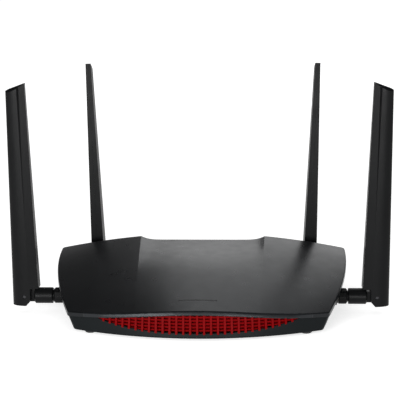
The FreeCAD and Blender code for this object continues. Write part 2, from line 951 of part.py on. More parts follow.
def rear_panel():
    plate = middle_box(("0", "rear_wall_place", "floor_top"),
                       ("2 * panel_half_width", "panel_thick", "crown_rear"))
    holes = [port_hole("lan_centre", "board_top", LAN_WIDE, "jack_block_height"),
             port_hole("wan_centre", "board_top", WAN_WIDE, "jack_block_height"),
             port_hole("usb_centre", "board_top", "usb_width", "usb_height"),
             port_hole("rocker_centre", ROCKER_LOW, ROCKER_WIDE, ROCKER_HIGH),
             port_hole("inlet_centre", "board_top", "inlet_size", "inlet_size"),
             round_hole("wps_centre", "wps_height", "wps_radius + port_clearance"),
             round_hole("reset_centre", "reset_height", "reset_radius + port_clearance")]
    for column_index in range(int(value("rear_vent_count"))):
        across = "%d * rear_vent_pitch - (rear_vent_count - 1) * rear_vent_pitch / 2" % column_index
        holes.append(middle_box((across, "rear_wall_place + panel_thick", "rear_vent_low"),
                                ("rear_vent_width", "3 * panel_thick", "rear_vent_height")))
    plate = cut(plate, *holes)
    return common(plate, held(under_cover(value("cover_wall + seat_gap"))))


def ethernet_block(across, cells):
    """A shielded jack block with one open cell and latch slot for each socket."""
    wide = "%d * jack_cell_pitch + 2 * jack_block_side" % cells
    body = middle_box((across, "rear_wall_place", "board_top"),
                      (wide, "jack_block_depth", "jack_block_height"))
    hollows = []
    for index in range(cells):
        middle = "%s + %s * jack_cell_pitch" % (across, (2 * index + 1 - cells) / 2)
        hollows.append(middle_box((middle, "rear_wall_place + 1", "board_top + jack_floor"),
                                  ("jack_cell_width", "jack_cell_depth + 1", "jack_cell_height")))
        hollows.append(middle_box((middle, "rear_wall_place + 1",
                                   "board_top + jack_floor - latch_height"),
                                  ("latch_width", "jack_cell_depth / 2 + 1",
                                   "latch_height + 1")))
    return cut(body, *hollows)


def usb_port():
    shell = middle_box(("usb_centre", "rear_wall_place", "board_top"),
                       ("usb_width", "usb_depth", "usb_height"))
    low = "board_top + (usb_height - usb_slot_height) / 2"
    slot = middle_box(("usb_centre", "rear_wall_place + 1", low),
                      ("usb_slot_width", "usb_depth - 2", "usb_slot_height"))
    tongue = middle_box(("usb_centre", "rear_wall_place - usb_tongue_shy",
                         low + " + usb_slot_height - usb_tongue_thick - usb_tongue_top"),
                        ("usb_slot_width - 2 * usb_tongue_side",
                         "usb_depth - usb_tongue_shy - 0.5", "usb_tongue_thick"))
    return fuse(cut(shell, slot), tongue)


def power_inlet():
    """The barrel socket of the mains adapter: a square body, a round bore and its pin."""
    body = middle_box(("inlet_centre", "rear_wall_place", "board_top"),
                      ("inlet_size", "inlet_depth", "inlet_size"))
    middle = "board_top + inlet_size / 2"
    start = "rear_wall_place - inlet_depth + inlet_back"
    bore = rod(("inlet_centre", start, middle), "inlet_bore_radius", "inlet_depth", "Y")
    pin = rod(("inlet_centre", start + " - inlet_back / 2", middle), "inlet_pin_radius",
              "inlet_depth - 2 * inlet_back", "Y")
    return fuse(cut(body, bore), pin)


def switch_frame():
    """The square frame of the power switch, open to the rear, with two pivot pins."""
    flange = "rocker_flange"
    outer = middle_box(("rocker_centre", "rear_wall_place", ROCKER_LOW),
                       (ROCKER_WIDE, "rocker_frame_depth", ROCKER_HIGH))
    lip = middle_box(("rocker_centre", "rear_wall_place + rocker_flange",
                      ROCKER_LOW + " - rocker_flange"),
                     (ROCKER_WIDE + " + 2 * rocker_flange", flange,
                      ROCKER_HIGH + " + 2 * rocker_flange"))
    hollow = middle_box(("rocker_centre", "rear_wall_place + 2 * rocker_flange",
                         ROCKER_LOW + " + rocker_frame_wall"),
                        ("rocker_width",
                         "rocker_frame_depth + 2 * rocker_flange - rocker_frame_wall",
                         "rocker_span"))
    pins = []
    for side in (-1, 1):
        start = "rocker_centre + %d * rocker_width / 2" % side
        start += " - rocker_pivot_length * %d" % (1 if side > 0 else 0)
        pins.append(rod((start, "rear_wall_place - rocker_pivot_depth", "rocker_height"),
                        "rocker_pivot_radius", "rocker_pivot_length", "X"))
    return fuse(cut(fuse(outer, lip), hollow), *pins)


def power_rocker():
    """The rocker: a shallow V face over a tapered heel, with two bearing sockets."""
    half = "rocker_span / 2 - rocker_play"
    dip = "rocker_face - (%s) * tan(rocker_tilt)" % half
    heel = ["-rocker_heel_depth", "rocker_heel_half"]
    corners = [("rocker_face", half), (dip, "0"), ("rocker_face", "-(%s)" % half),
               ("0", "-(%s)" % half), (heel[0], "-" + heel[1]), (heel[0], heel[1]), ("0", half)]
    body = padded("YZ_Plane", [corners], "rocker_width - 2 * rocker_play")
    socket = "rocker_pivot_length + pin_clearance"
    pits = []
    for side in (-1, 1):
        start = "%d * (rocker_width / 2 - rocker_play)" % side
        if side > 0:
            start += " - (%s - rocker_play)" % socket
        pits.append(rod((start, "0", "0"), "rocker_pivot_radius + pin_clearance",
                        socket + " - rocker_play", "X"))
    rocker = cut(body, *pits)
    place = vector(value("rocker_centre"), value("rear_wall_place - rocker_pivot_depth"),
                   value("rocker_height"))
    tilt = FreeCAD.Rotation(vector(1, 0, 0), value("rocker_tilt"))
    rocker.Placement = FreeCAD.Placement(place, tilt)
    return rocker


def push_button(across, height, radius, proud):
    """A round button with a retaining flange behind the panel and a stem to its switch."""
    flange = "(%s + button_flange)" % radius
    back = "-(panel_thick + button_gap)"
    corners = [("0", "%s - button_flange_thick - button_stem" % back),
               ("button_stem_radius", "%s - button_flange_thick - button_stem" % back),
               ("button_stem_radius", "%s - button_flange_thick" % back),
               (flange, "%s - button_flange_thick" % back), (flange, back),
               (radius, back), (radius, "%s - button_edge" % proud),
               ("%s - button_edge" % radius, proud), ("0", proud)]
    button = turned(corners)
    place = vector(value(across), value("rear_wall_place"), value(height))
    button.Placement = FreeCAD.Placement(place, TURN["Y"])
    return button


def button_switches():
    """Two small push switches on the board, one behind each button."""
    bodies = []
    travel = {"wps": "wps_travel", "reset": "reset_travel"}
    for name in ("wps", "reset"):
        reach = "panel_thick + button_gap + button_flange_thick + button_stem + %s + seat_gap"
        rear = "rear_wall_place - (%s)" % (reach % travel[name])
        bodies.append(middle_box((name + "_centre", rear, "board_top"),
                                 ("switch_width", "switch_depth",
                                  name + "_height - board_top + switch_over")))
    return fuse(*bodies)


publish(rear_panel(), "rear_panel")
publish(ethernet_block("lan_centre", 4), "lan_jack_block")
publish(ethernet_block("wan_centre", 1), "wan_jack")
publish(usb_port(), "usb_port")
publish(power_inlet(), "power_inlet")
publish(switch_frame(), "power_switch_frame")
publish(power_rocker(), "power_rocker")
publish(push_button("wps_centre", "wps_height", "wps_radius", "wps_proud"), "wps_button")
publish(push_button("reset_centre", "reset_height", "reset_radius", "-reset_depth"),
        "reset_button")
publish(button_switches(), "button_switches")


# ---------------------------------------------------------------- circuit board

def circuit_board():
    plate = middle_box(("0", "board_rear", "board_height"),
                       ("2 * board_half_width", "board_depth", "board_thick"))
    holes = [rod((str(spot[0]), str(spot[1]), "board_height - 1"),
                 "screw_radius + screw_clearance", "board_thick + 2") for spot in board_posts()]
    return cut(plate, *holes)


def board_screws():
    """Four pan-head screws that hold the board to its posts."""
    screws = []
    for spot in board_posts():
        place = (str(spot[0]), str(spot[1]))
        shank = rod(place + ("board_height - screw_bite + seat_gap",), "screw_radius",
                    "board_thick + screw_bite - seat_gap")
        head = rod(place + ("board_top",), "screw_head_radius", "screw_head_height")
        screws.append(fuse(shank, head))
    return fuse(*screws)


def case_screws():
    """Four screws up through the case posts into the cover's posts."""
    screws = []
    for spot in screw_posts():
        place = (str(spot[0]), str(spot[1]))
        shank = rod(place + ("floor_height + screw_sink",), "screw_radius",
                    "post_top + screw_bite - floor_height - screw_sink - seat_gap")
        head = rod(place + ("floor_height + screw_sink - screw_head_height",),
                   "screw_head_radius", "screw_head_height")
        screws.append(fuse(shank, head))
    return fuse(*screws)


def chip(across, size):
    return box(("%s - (%s) / 2" % (across, size), "sink_middle - (%s) / 2" % size, "board_top"),
               (size, size, "processor_thick"))


def chips():
    """The processor and the radio chip, one under each heat sink."""
    return fuse(chip("-sink_centre", "processor_size"), chip("sink_centre", "processor_size"))


def thermal_pads():
    """The soft pads that fill the space between each chip and its heat sink."""
    pads = []
    for side in ("-", ""):
        corner = ("%ssink_centre - processor_size / 2" % side,
                  "sink_middle - processor_size / 2", "board_top + processor_thick")
        pads.append(box(corner, ("processor_size", "processor_size", "pad_thick")))
    return fuse(*pads)


def heat_sink(across, wide, tall):
    """A finned block: a base plate with a row of upright fins, patterned along X."""
    half = "(%s) / 2" % wide
    body = padded("XZ_Plane", [[("-" + half, "0"), (half, "0"), (half, "sink_base"),
                                ("-" + half, "sink_base")]], "sink_depth")
    first = [("-" + half, "sink_base"), ("-" + half + " + fin_thick", "sink_base"),
             ("-" + half + " + fin_thick", tall), ("-" + half, tall)]
    fin = body.newObject("PartDesign::Pad", "fin")
    fin.Profile = sketch(body, "XZ_Plane", [first])
    fin.Midplane = True
    bind(fin, "Length", "sink_depth")
    doc.recompute()
    row = body.newObject("PartDesign::LinearPattern", "fins")
    row.Originals = [fin]
    row.Direction = (fin.Profile[0], ["H_Axis"])
    row.Occurrences = int(value("floor((%s - fin_thick) / fin_pitch)" % wide)) + 1
    bind(row, "Length", "(%s - fin_thick)" % wide)
    body.Tip = row
    place = ("%s" % across, "sink_middle", "board_top + processor_thick + pad_thick")
    set_base(body, place)
    return body


def shield_cans():
    """Two pressed lids over the radio stages on the front of the board."""
    lids = []
    for side in ("-", ""):
        lid = box(("%scan_centre - can_width / 2" % side, "can_middle - can_depth / 2",
                   "board_top"), ("can_width", "can_depth", "can_height"))
        lids.append(lid)
    return fuse(*lids)


def status_light_guide():
    """A clear bar flush with the cover, whose stem reaches down to the lamp."""
    bar = light_slot(0, 0, value("light_length"))
    return held(bar)


def status_lamps():
    """A row of small lamps on their board, close under the light guide."""
    lamps = []
    for index in range(int(value("lamp_count"))):
        across = "(%d - (lamp_count - 1) / 2) * lamp_pitch" % index
        lamps.append(middle_box((across, "light_place + lamp_size / 2", "%f" % lamp_seat()),
                                ("lamp_size", "lamp_size", "lamp_height")))
    return fuse(*lamps)


def lamp_board():
    """The small board that carries the lamps, on two posts of its own."""
    return middle_box(("0", "light_place + lamp_board_depth / 2",
                       "%f - lamp_board_thick" % lamp_seat()),
                      ("lamp_board_width", "lamp_board_depth", "lamp_board_thick"))


def foot(spot):
    """A round rubber foot with a soft lower edge, seated in its recess."""
    edge = "foot_edge"
    top = "floor_height + foot_recess"
    body = turned([("0", "0"), ("foot_radius - " + edge, "0"), ("foot_radius", edge),
                   ("foot_radius", top), ("0", top)])
    body.Placement = FreeCAD.Placement(vector(spot[0], spot[1], 0), FreeCAD.Rotation())
    return body


publish(circuit_board(), "circuit_board")
publish(board_screws(), "board_screws")
publish(case_screws(), "case_screws")
publish(chips(), "chips")
publish(thermal_pads(), "thermal_pads")
publish(heat_sink("-sink_centre", "sink_width", "sink_height"), "processor_heat_sink")
publish(heat_sink("sink_centre", "radio_sink_width", "radio_sink_height"), "radio_heat_sink")
publish(shield_cans(), "shield_cans")
publish(status_light_guide(), "status_light_guide")
publish(status_lamps(), "status_lamps")
publish(lamp_board(), "lamp_board")
for foot_name, foot_spot in zip(("foot_front_left", "foot_front_right", "foot_rear_left",
                                 "foot_rear_right"), foot_spots()):
    publish(foot(foot_spot), foot_name)


# ---------------------------------------------------------------- antennas

AXIS_X = FreeCAD.Placement(vector(0, 0, 0), FreeCAD.Rotation(vector(0, 1, 0), 90))


def outward(item, name, start="0"):
    """Lay a body that was turned about Z along a connector, start outward of its seat."""
    shift = FreeCAD.Placement(vector(value(start), 0, 0), FreeCAD.Rotation())
    item.Placement = jack_frame(name).multiply(shift).multiply(AXIS_X)
    return item


def antenna_jack(name):
    """The threaded connector fixed in the wall: tail, inner nut, shank, flange and sleeve."""
    wall = "case_wall" if JACKS[name][1] else "boss_depth"
    sleeve = "jack_flange_length + nut_length - spigot_length"
    back = "-(%s + jack_nut_length)" % wall
    corners = [("0", back + " - jack_tail_length"), ("jack_tail_radius", back +
               " - jack_tail_length"), ("jack_tail_radius", back), ("jack_nut_radius", back),
               ("jack_nut_radius", "-" + wall), ("jack_shank_radius", "-" + wall),
               ("jack_shank_radius", "0"), ("jack_flange_radius", "0"),
               ("jack_flange_radius", "jack_flange_length"), ("jack_radius",
                                                              "jack_flange_length"),
               ("jack_radius", sleeve), ("0", sleeve)]
    return outward(turned(corners), name)


def coupling_nut(name):
    """The faceted finger nut that draws the swivel barrel onto the jack."""
    edge = "nut_chamfer"
    bore = "jack_radius + nut_bore_clearance"
    ring = turned([(bore, "0"), ("nut_radius - %s / 2" % edge, "0"), ("nut_radius", edge + " / 2"),
                   ("nut_radius", "nut_length - " + edge), ("nut_radius - " + edge, "nut_length"),
                   (bore, "nut_length")])
    sides = doc.addObject("Part::Prism", "facets")
    bind(sides, "Polygon", "nut_facets")
    bind(sides, "Circumradius", "nut_radius + nut_facet_relief")
    bind(sides, "Height", "nut_length")
    return outward(common(ring, sides), name, "jack_flange_length + nut_seat_gap")


def swivel_barrel(name):
    """The barrel with its spigot in the nut and a rounded tongue for the hinge pin."""
    nose = "jack_radius"
    end = "barrel_start - barrel_end"
    profile = [("0", "-barrel_groove - spigot_length"), (nose, "-barrel_groove - spigot_length"),
               (nose, "0"), ("barrel_radius - barrel_chamfer / 2", "0"),
               ("barrel_radius", "barrel_chamfer / 2"), ("barrel_radius", end +
                                                         " - barrel_chamfer"),
               ("barrel_radius - barrel_chamfer", end), ("0", end)]
    barrel = turned(profile)
    barrel.Placement = FreeCAD.Placement(vector(-value("barrel_start"), 0, 0),
                                         FreeCAD.Rotation(vector(0, 1, 0), 90))
    thick = "2 * tongue_half_thickness"
    arm = box(("-barrel_end - barrel_chamfer", "-tongue_half_thickness", "-tongue_radius"),
              ("barrel_end + barrel_chamfer", thick, "2 * tongue_radius"))
    knuckle = rod(("0", "-tongue_half_thickness", "0"), "tongue_radius", thick, "Y")
    hole = rod(("0", "-tongue_half_thickness - 1", "0"), "pin_radius + pin_clearance",
               thick + " + 2", "Y")
    return at_hinge(cut(fuse(barrel, arm, knuckle), hole), name)


def at_hinge(item, name):
    """Carry a piece modelled about the hinge pin to its antenna."""
    shift = FreeCAD.Placement(vector(value("hinge_stack"), 0, 0), FreeCAD.Rotation())
    item.Placement = jack_frame(name).multiply(shift)
    return item


def blade_share(height):
    """How far a height is along the blade, 0 at its foot and 1 at its tip."""
    return (height + value("blade_drop")) / value("blade_drop + blade_rise")


def blade_sizes(height):
    """Outer reach, inner reach and thickness of the tapered blade at a height."""
    share = blade_share(height)
    sizes = []
    for side in ("outer", "inner", "thick"):
        foot_size = value("blade_%s_foot" % side)
        sizes.append(foot_size + (value("blade_%s_tip" % side) - foot_size) * share)
    return sizes


def crest(height):
    """The crest line of a face: where the flat inner facet meets the rounded outer part."""
    outer, inner, thick = blade_sizes(height)
    return -inner + value("groove_place") * (outer + inner), thick / 2


NOSE_STEPS = 4


def blade_section(height, inset):
    """Closed section: a flat inner edge, two facets and a rounded outer nose."""
    outer, inner, thick = blade_sizes(height)
    place, half = crest(height)
    edge_half = half * value("blade_edge_share")
    reach = outer - place - inset
    half -= inset
    edge_half -= inset
    nose = []
    for index in range(-NOSE_STEPS, NOSE_STEPS + 1):
        angle = index / NOSE_STEPS * math.pi / 2
        across = abs(math.cos(angle)) ** value("blade_nose_power")
        nose.append(vector(place + reach * across, half * math.sin(angle), height))
    curve = Part.BSplineCurve()
    curve.interpolate(nose)
    low = vector(-inner + inset, -edge_half, height)
    high = vector(-inner + inset, edge_half, height)
    return Part.Wire([curve.toShape(), Part.LineSegment(nose[-1], high).toShape(),
                      Part.LineSegment(high, low).toShape(),
                      Part.LineSegment(low, nose[0]).toShape()])


def blade_loft(low, high, inset):
    return Part.makeLoft([blade_section(low, inset), blade_section(high, inset)], True, True)


def slanted_top():
    """A wide block above the slanted tip of the blade."""
    inner = value("blade_inner_tip")
    wide = value("blade_outer_tip") + inner
    tilt = math.degrees(math.atan(value("blade_tip_fall") / wide))
    block = Part.makeBox(6 * wide, 4 * wide, 2 * wide, vector(-3 * wide, -2 * wide, 0))
    block.rotate(vector(0, 0, 0), vector(0, 1, 0), tilt)
    block.translate(vector(-inner, 0, value("blade_rise")))
    return block


def tip_bevel(side):
    """A block that bevels one long edge of the slanted tip."""
    block = slanted_top()
    block.rotate(vector(0, 0, value("blade_rise")), vector(1, 0, 0),
                 -side * value("tip_bevel_angle"))
    block.translate(vector(0, side * value("blade_thick_tip / 2 - tip_bevel"), 0))
    return block


def groove_wedge(side):
    """The long V groove on a face's crest, wide at the tip and running out to a point."""
    top = value("blade_rise + 2")
    end = top - value("blade_rise + blade_drop") * value("groove_length_share")
    place, half = crest(top)
    wide = value("groove_width") / 2
    proud = half + value("groove_depth")
    corners = [vector(place - wide * 2, side * proud, top),
               vector(place + wide * 2, side * proud, top),
               vector(place, side * (half - value("groove_depth")), top)]
    end_place, end_half = crest(end)
    point = vector(end_place, side * (end_half + value("groove_depth") / 4), end)
    faces = [Part.Face(Part.makePolygon(corners + corners[:1]))]
    for index in range(3):
        following = corners[(index + 1) % 3]
        faces.append(Part.Face(Part.makePolygon([corners[index], following, point,
                                                 corners[index]])))
    solid = Part.Solid(Part.Shell(faces))
    if solid.Volume < 0:
        solid.reverse()
    return solid


def blade_hollow():
    """The long space inside the blade for the radiator strip."""
    start = value("radiator_start - seat_gap")
    end = value("radiator_start + radiator_length + blade_wall")
    wires = []
    for height in (start, end):
        outer, inner, thick = blade_sizes(height)
        half = thick * value("hollow_share")
        near = -inner + value("blade_wall")
        far = outer - value("hollow_nose")
        corners = [vector(near, -half, height), vector(far, -half, height),
                   vector(far, half, height), vector(near, half, height)]
        wires.append(Part.makePolygon(corners + corners[:1]))
    return Part.makeLoft(wires, True, True)


def blade_whole():
    """Both halves of the blade in one, cut to its hinge end, slot, tip and grooves."""
    drop = value("blade_drop")
    rise = value("blade_rise")
    body = blade_loft(-drop, rise + 1, 0)
    far = 4 * value("blade_inner_foot")
    cheek = -value("blade_cheek_inner")
    step = Part.makeBox(far, far, drop + value("blade_step_height"),
                        vector(cheek - far, -far / 2, -drop))
    low_corner = vector(cheek, -far / 2, -drop)
    rise_by = value("blade_heel_rise")
    run = value("blade_heel_run")
    corner = Part.makePolygon([low_corner, low_corner + vector(0, 0, rise_by),
                               low_corner + vector(run, 0, 0), low_corner])
    heel_block = Part.Face(corner).extrude(vector(0, far, 0))
    half_slot = value("tongue_half_thickness + tongue_clearance")
    reach = value("tongue_radius + hinge_side_gap + tongue_clearance")
    slot = Part.makeBox(far + reach, 2 * half_slot, drop + reach,
                        vector(-far, -half_slot, -drop))
    pin = Part.makeCylinder(value("pin_radius + pin_seat"), far, vector(0, -far / 2, 0),
                            vector(0, 1, 0))
    tools = [step, heel_block, slot, pin, slanted_top(), groove_wedge(1), groove_wedge(-1),
             tip_bevel(1), tip_bevel(-1), blade_hollow()]
    return body.cut(tools)


BLADE = blade_whole()


def blade_half(name, side):
    """One moulded half of a blade: the side towards +v or -v of its own frame."""
    far = 2 * value("blade_rise")
    half = Part.makeBox(far, far, 2 * far, vector(-far / 2, 0 if side > 0 else -far, -far))
    return at_hinge(held(BLADE.common(half)), name)


def hinge_pin(name):
    """The steel pin, its ends recessed in the blade's cheeks."""
    thick = blade_sizes(0)[2]
    length = thick * value("pin_length_share")
    pin = Part.makeCylinder(value("pin_radius"), length, vector(0, -length / 2, 0),
                            vector(0, 1, 0))
    return at_hinge(held(pin), name)


def radiator(name):
    """The printed radiator strip that stands in the blade's hollow."""
    strip = box(("radiator_place - radiator_width / 2", "-radiator_thick / 2",
                 "radiator_start"), ("radiator_width", "radiator_thick", "radiator_length"))
    return at_hinge(fuse(strip, box(("radiator_place - radiator_width / 2",
                                     "-radiator_foot / 2", "radiator_start"),
                                    ("radiator_width", "radiator_foot", "radiator_thick"))), name)


for antenna in JACKS:
    publish(antenna_jack(antenna), "jack_" + antenna)
    publish(coupling_nut(antenna), "coupling_nut_" + antenna)
    publish(swivel_barrel(antenna), "swivel_barrel_" + antenna)
    publish(blade_half(antenna, 1), "blade_shell_a_" + antenna)
    publish(blade_half(antenna, -1), "blade_shell_b_" + antenna)
    publish(hinge_pin(antenna), "hinge_pin_" + antenna)
    publish(radiator(antenna), "radiator_" + antenna)


# ---------------------------------------------------------------- checks and files

doc.recompute()
for item in doc.Objects:
    if "Invalid" in item.State or "Error" in item.State:
        raise RuntimeError("%s did not build: %s" % (item.Label, item.State))
os.makedirs("parts", exist_ok=True)
for item in NODES:
    if item.Shape.isNull() or not item.Shape.isValid():
        raise RuntimeError("%s has no valid shape" % item.Label)
for item in NODES:
    item.Shape.exportStep("parts/%s.step" % item.Label)
print("%d sub-parts written" % len(NODES))
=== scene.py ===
import json
import math

import bpy
from mathutils import Matrix, Vector
from mathutils.bvhtree import BVHTree


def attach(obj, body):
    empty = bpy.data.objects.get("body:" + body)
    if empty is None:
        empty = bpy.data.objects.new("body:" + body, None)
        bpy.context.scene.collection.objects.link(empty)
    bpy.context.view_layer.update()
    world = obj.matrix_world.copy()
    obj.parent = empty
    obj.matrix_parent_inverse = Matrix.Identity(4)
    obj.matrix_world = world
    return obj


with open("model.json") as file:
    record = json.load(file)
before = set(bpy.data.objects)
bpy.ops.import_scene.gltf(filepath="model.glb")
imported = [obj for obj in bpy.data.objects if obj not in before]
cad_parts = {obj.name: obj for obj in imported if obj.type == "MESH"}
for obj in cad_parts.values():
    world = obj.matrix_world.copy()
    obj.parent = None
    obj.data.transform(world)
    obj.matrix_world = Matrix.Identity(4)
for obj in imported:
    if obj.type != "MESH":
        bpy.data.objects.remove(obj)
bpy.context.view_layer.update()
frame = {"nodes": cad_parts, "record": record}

NODES = frame["nodes"]
MM = 0.001
WHITE = 1, 1, 1, 1


# ---------------------------------------------------------------- materials

BLOTCH_SIZE = 28 * MM
GLOSS_PATCH_SIZE = 9 * MM
GLOSS_SWING = 0.03
STREAK_DEPTH = 0.004 * MM
STREAK_STRENGTH = 0.6
STREAK_SHADES = 0.86, 1.08
STREAK_GLOSS = -0.06, 0.08
TRACK_DEPTH = 0.03 * MM
TRACK_STRENGTH = 0.5
TRACKS_PER_METRE = 220.0
TRACK_GAP = 0.06
RESIST_DARK = 0.012, 0.11, 0.045, 1
RESIST_LIGHT = 0.016, 0.14, 0.06, 1
RESIST_OVER_COPPER = 0.03, 0.22, 0.10, 1
BEVEL_SAMPLES = 4
COOL_SHEEN = 0.90, 0.95, 1.0, 1


class Recipe:
    """One node material: a principled shader whose colour, roughness and bump come from noise."""

    def __init__(self, name):
        self.material = bpy.data.materials.new(name)
        self.material.use_nodes = True
        self.tree = self.material.node_tree
        self.shader = self.tree.nodes["Principled BSDF"]
        self.place = self.tree.nodes.new("ShaderNodeTexCoord").outputs["Object"]

    def add(self, kind, **settings):
        node = self.tree.nodes.new(kind)
        for key, value in settings.items():
            setattr(node, key, value)
        return node

    def link(self, source, target):
        self.tree.links.new(source, target)

    def set(self, **sockets):
        """Constants on the shader's own sockets, by name with underscores for spaces."""
        for key, value in sockets.items():
            self.shader.inputs[key.replace("_", " ")].default_value = value

    def noise(self, size, detail=2.0, stretch=None):
        """Noise between 0 and 1 whose lumps are about size metres across."""
        node = self.add("ShaderNodeTexNoise")
        node.inputs["Scale"].default_value = 1 / size
        node.inputs["Detail"].default_value = detail
        source = self.place
        if stretch:
            mapping = self.add("ShaderNodeMapping")
            mapping.inputs["Scale"].default_value = stretch
            self.link(source, mapping.inputs["Vector"])
            source = mapping.outputs["Vector"]
        self.link(source, node.inputs["Vector"])
        return node.outputs["Fac"]

    def span(self, source, low, high, start=0.3, end=0.7):
        """A value that runs from low to high as the source runs from start to end."""
        node = self.add("ShaderNodeMapRange")
        for key, value in (("From Min", start), ("From Max", end), ("To Min", low),
                           ("To Max", high)):
            node.inputs[key].default_value = value
        self.link(source, node.inputs["Value"])
        return node.outputs["Result"]

    def colours(self, source, first, second, start=0.3, end=0.7):
        """Colours between two shades, by the source."""
        node = self.add("ShaderNodeValToRGB")
        node.color_ramp.elements[0].position = start
        node.color_ramp.elements[0].color = (*first, 1)
        node.color_ramp.elements[1].position = end
        node.color_ramp.elements[1].color = (*second, 1)
        self.link(source, node.inputs["Fac"])
        return node.outputs["Color"]

    def bump(self, source, depth, strength=1.0, before=None):
        node = self.add("ShaderNodeBump")
        node.inputs["Strength"].default_value = strength
        node.inputs["Distance"].default_value = depth
        self.link(source, node.inputs["Height"])
        if before is not None:
            self.link(before, node.inputs["Normal"])
        return node.outputs["Normal"]

    def round_edges(self, radius):
        node = self.add("ShaderNodeBevel", samples=BEVEL_SAMPLES)
        node.inputs["Radius"].default_value = radius
        return node.outputs["Normal"]

    def finish(self, colour=None, roughness=None, normal=None):
        for key, source in (("Base Color", colour), ("Roughness", roughness), ("Normal", normal)):
            if source is not None:
                self.link(source, self.shader.inputs[key])
        return self.material


def shade(colour, factor):
    return tuple(min(part * factor, 1.0) for part in colour)


def moulded(name, colour, roughness, grain=0.25 * MM, depth=0.006 * MM, edge=0.25 * MM,
            specular=0.5, blotch=0.12, sheen=WHITE):
    """Moulded plastic: spark-eroded grain, faint blotches and softly rounded edges.

    The sheen is the colour of its highlights."""
    recipe = Recipe(name)
    recipe.set(Specular_IOR_Level=specular, Specular_Tint=sheen)
    cloud = recipe.noise(BLOTCH_SIZE, 3.0)
    fine = recipe.noise(grain, 3.0)
    tone = recipe.colours(cloud, shade(colour, 1 - blotch), shade(colour, 1 + blotch))
    rough = recipe.span(recipe.noise(GLOSS_PATCH_SIZE, 4.0), roughness - GLOSS_SWING,
                        roughness + GLOSS_SWING)
    normal = recipe.bump(fine, depth, 1.0, recipe.round_edges(edge))
    return recipe.finish(tone, rough, normal)


def metal(name, colour, roughness, stretch=(1, 1, 1), grain=0.4 * MM, edge=0.15 * MM):
    """Bare or plated metal with drawn or brushed streaks."""
    recipe = Recipe(name)
    recipe.set(Metallic=1.0)
    streak = recipe.noise(grain, 4.0, stretch)
    tone = recipe.colours(streak, *(shade(colour, factor) for factor in STREAK_SHADES))
    rough = recipe.span(streak, *(roughness + change for change in STREAK_GLOSS))
    normal = recipe.bump(streak, STREAK_DEPTH, STREAK_STRENGTH, recipe.round_edges(edge))
    return recipe.finish(tone, rough, normal)


def circuit(name):
    """Green solder resist over copper, in blocks with lighter lines between them."""
    recipe = Recipe(name)
    recipe.set(Specular_IOR_Level=0.5)
    brick = recipe.add("ShaderNodeTexBrick", offset=0.37, squash=1.0)
    for key, value in (("Scale", TRACKS_PER_METRE), ("Mortar Size", TRACK_GAP),
                       ("Color1", RESIST_DARK), ("Color2", RESIST_LIGHT),
                       ("Mortar", RESIST_OVER_COPPER)):
        brick.inputs[key].default_value = value
    recipe.link(recipe.place, brick.inputs["Vector"])
    rough = recipe.span(recipe.noise(6 * MM), 0.28, 0.42)
    normal = recipe.bump(brick.outputs["Fac"], TRACK_DEPTH, TRACK_STRENGTH)
    return recipe.finish(brick.outputs["Color"], rough, normal)


MATERIALS = {
    "cover_black": moulded("cover_satin_black", (0.0105, 0.0112, 0.0125), 0.30, specular=0.30,
                           depth=0.003 * MM, edge=0.5 * MM, sheen=COOL_SHEEN),
    "case_black": moulded("case_grained_black", (0.0062, 0.0080, 0.0088), 0.42, specular=0.09,
                          depth=0.010 * MM),
    "grille_red": moulded("grille_red", (0.19, 0.0008, 0.0018), 0.42, specular=0.04,
                          depth=0.003 * MM, blotch=0.06),
    "panel_black": moulded("panel_matt_black", (0.014, 0.0145, 0.0155), 0.55, depth=0.014 * MM),
    "lan_yellow": moulded("socket_yellow", (0.72, 0.47, 0.045), 0.32, depth=0.003 * MM,
                          blotch=0.05),
    "wan_blue": moulded("socket_blue", (0.035, 0.13, 0.46), 0.32, depth=0.003 * MM, blotch=0.06),
    "nickel": metal("port_nickel", (0.66, 0.64, 0.60), 0.26),
    "button_black": moulded("button_black", (0.014, 0.0145, 0.0155), 0.34, depth=0.004 * MM),
    "antenna_black": moulded("antenna_black", (0.0048, 0.0050, 0.0054), 0.34, specular=0.10,
                             depth=0.003 * MM),
    "jack_brass": metal("jack_dark_nickel", (0.055, 0.052, 0.048), 0.34),
    "pin_steel": metal("pin_blackened_steel", (0.045, 0.045, 0.048), 0.34, (1, 14, 1)),
    "board_green": circuit("board_solder_resist"),
    "chip_black": moulded("chip_epoxy", (0.018, 0.018, 0.020), 0.52, depth=0.01 * MM),
    "sink_metal": metal("heat_sink_aluminium", (0.66, 0.67, 0.69), 0.34, (1, 24, 1)),
    "can_steel": metal("shield_tinplate", (0.62, 0.62, 0.63), 0.28),
    "pad_grey": moulded("thermal_pad", (0.30, 0.34, 0.40), 0.62, depth=0.02 * MM),
    "light_clear": moulded("light_guide_smoked", (0.008, 0.0085, 0.010), 0.24, specular=0.14,
                           depth=0.001 * MM),
    "contact_gold": metal("contact_gold", (0.83, 0.60, 0.24), 0.22),
    "mark_white": moulded("mark_print_white", (0.62, 0.62, 0.60), 0.5, depth=0.002 * MM,
                          edge=0.03 * MM),
    # Painted shade: a dark colour for the screws' cross recesses, standing in for their depth.
    "recess_dark": moulded("screw_recess_painted_shade", (0.010, 0.010, 0.011), 0.6, edge=0.05 * MM),
    "foot_rubber": moulded("foot_rubber", (0.014, 0.014, 0.015), 0.72, depth=0.02 * MM),
}
SLOTS = {row["node"]: row["material_slot"] for row in frame["record"]["subparts"]}

for name, piece in NODES.items():
    piece.data.materials.clear()
    piece.data.materials.append(MATERIALS[SLOTS[name]])


# ---------------------------------------------------------------- extra pieces
# Places and sizes here are in millimetres, in the frame of the CAD. Paths are of (y, z) places,
# wire sizes are a width and a thickness, and the sleeve's rings are each a radius and a y.

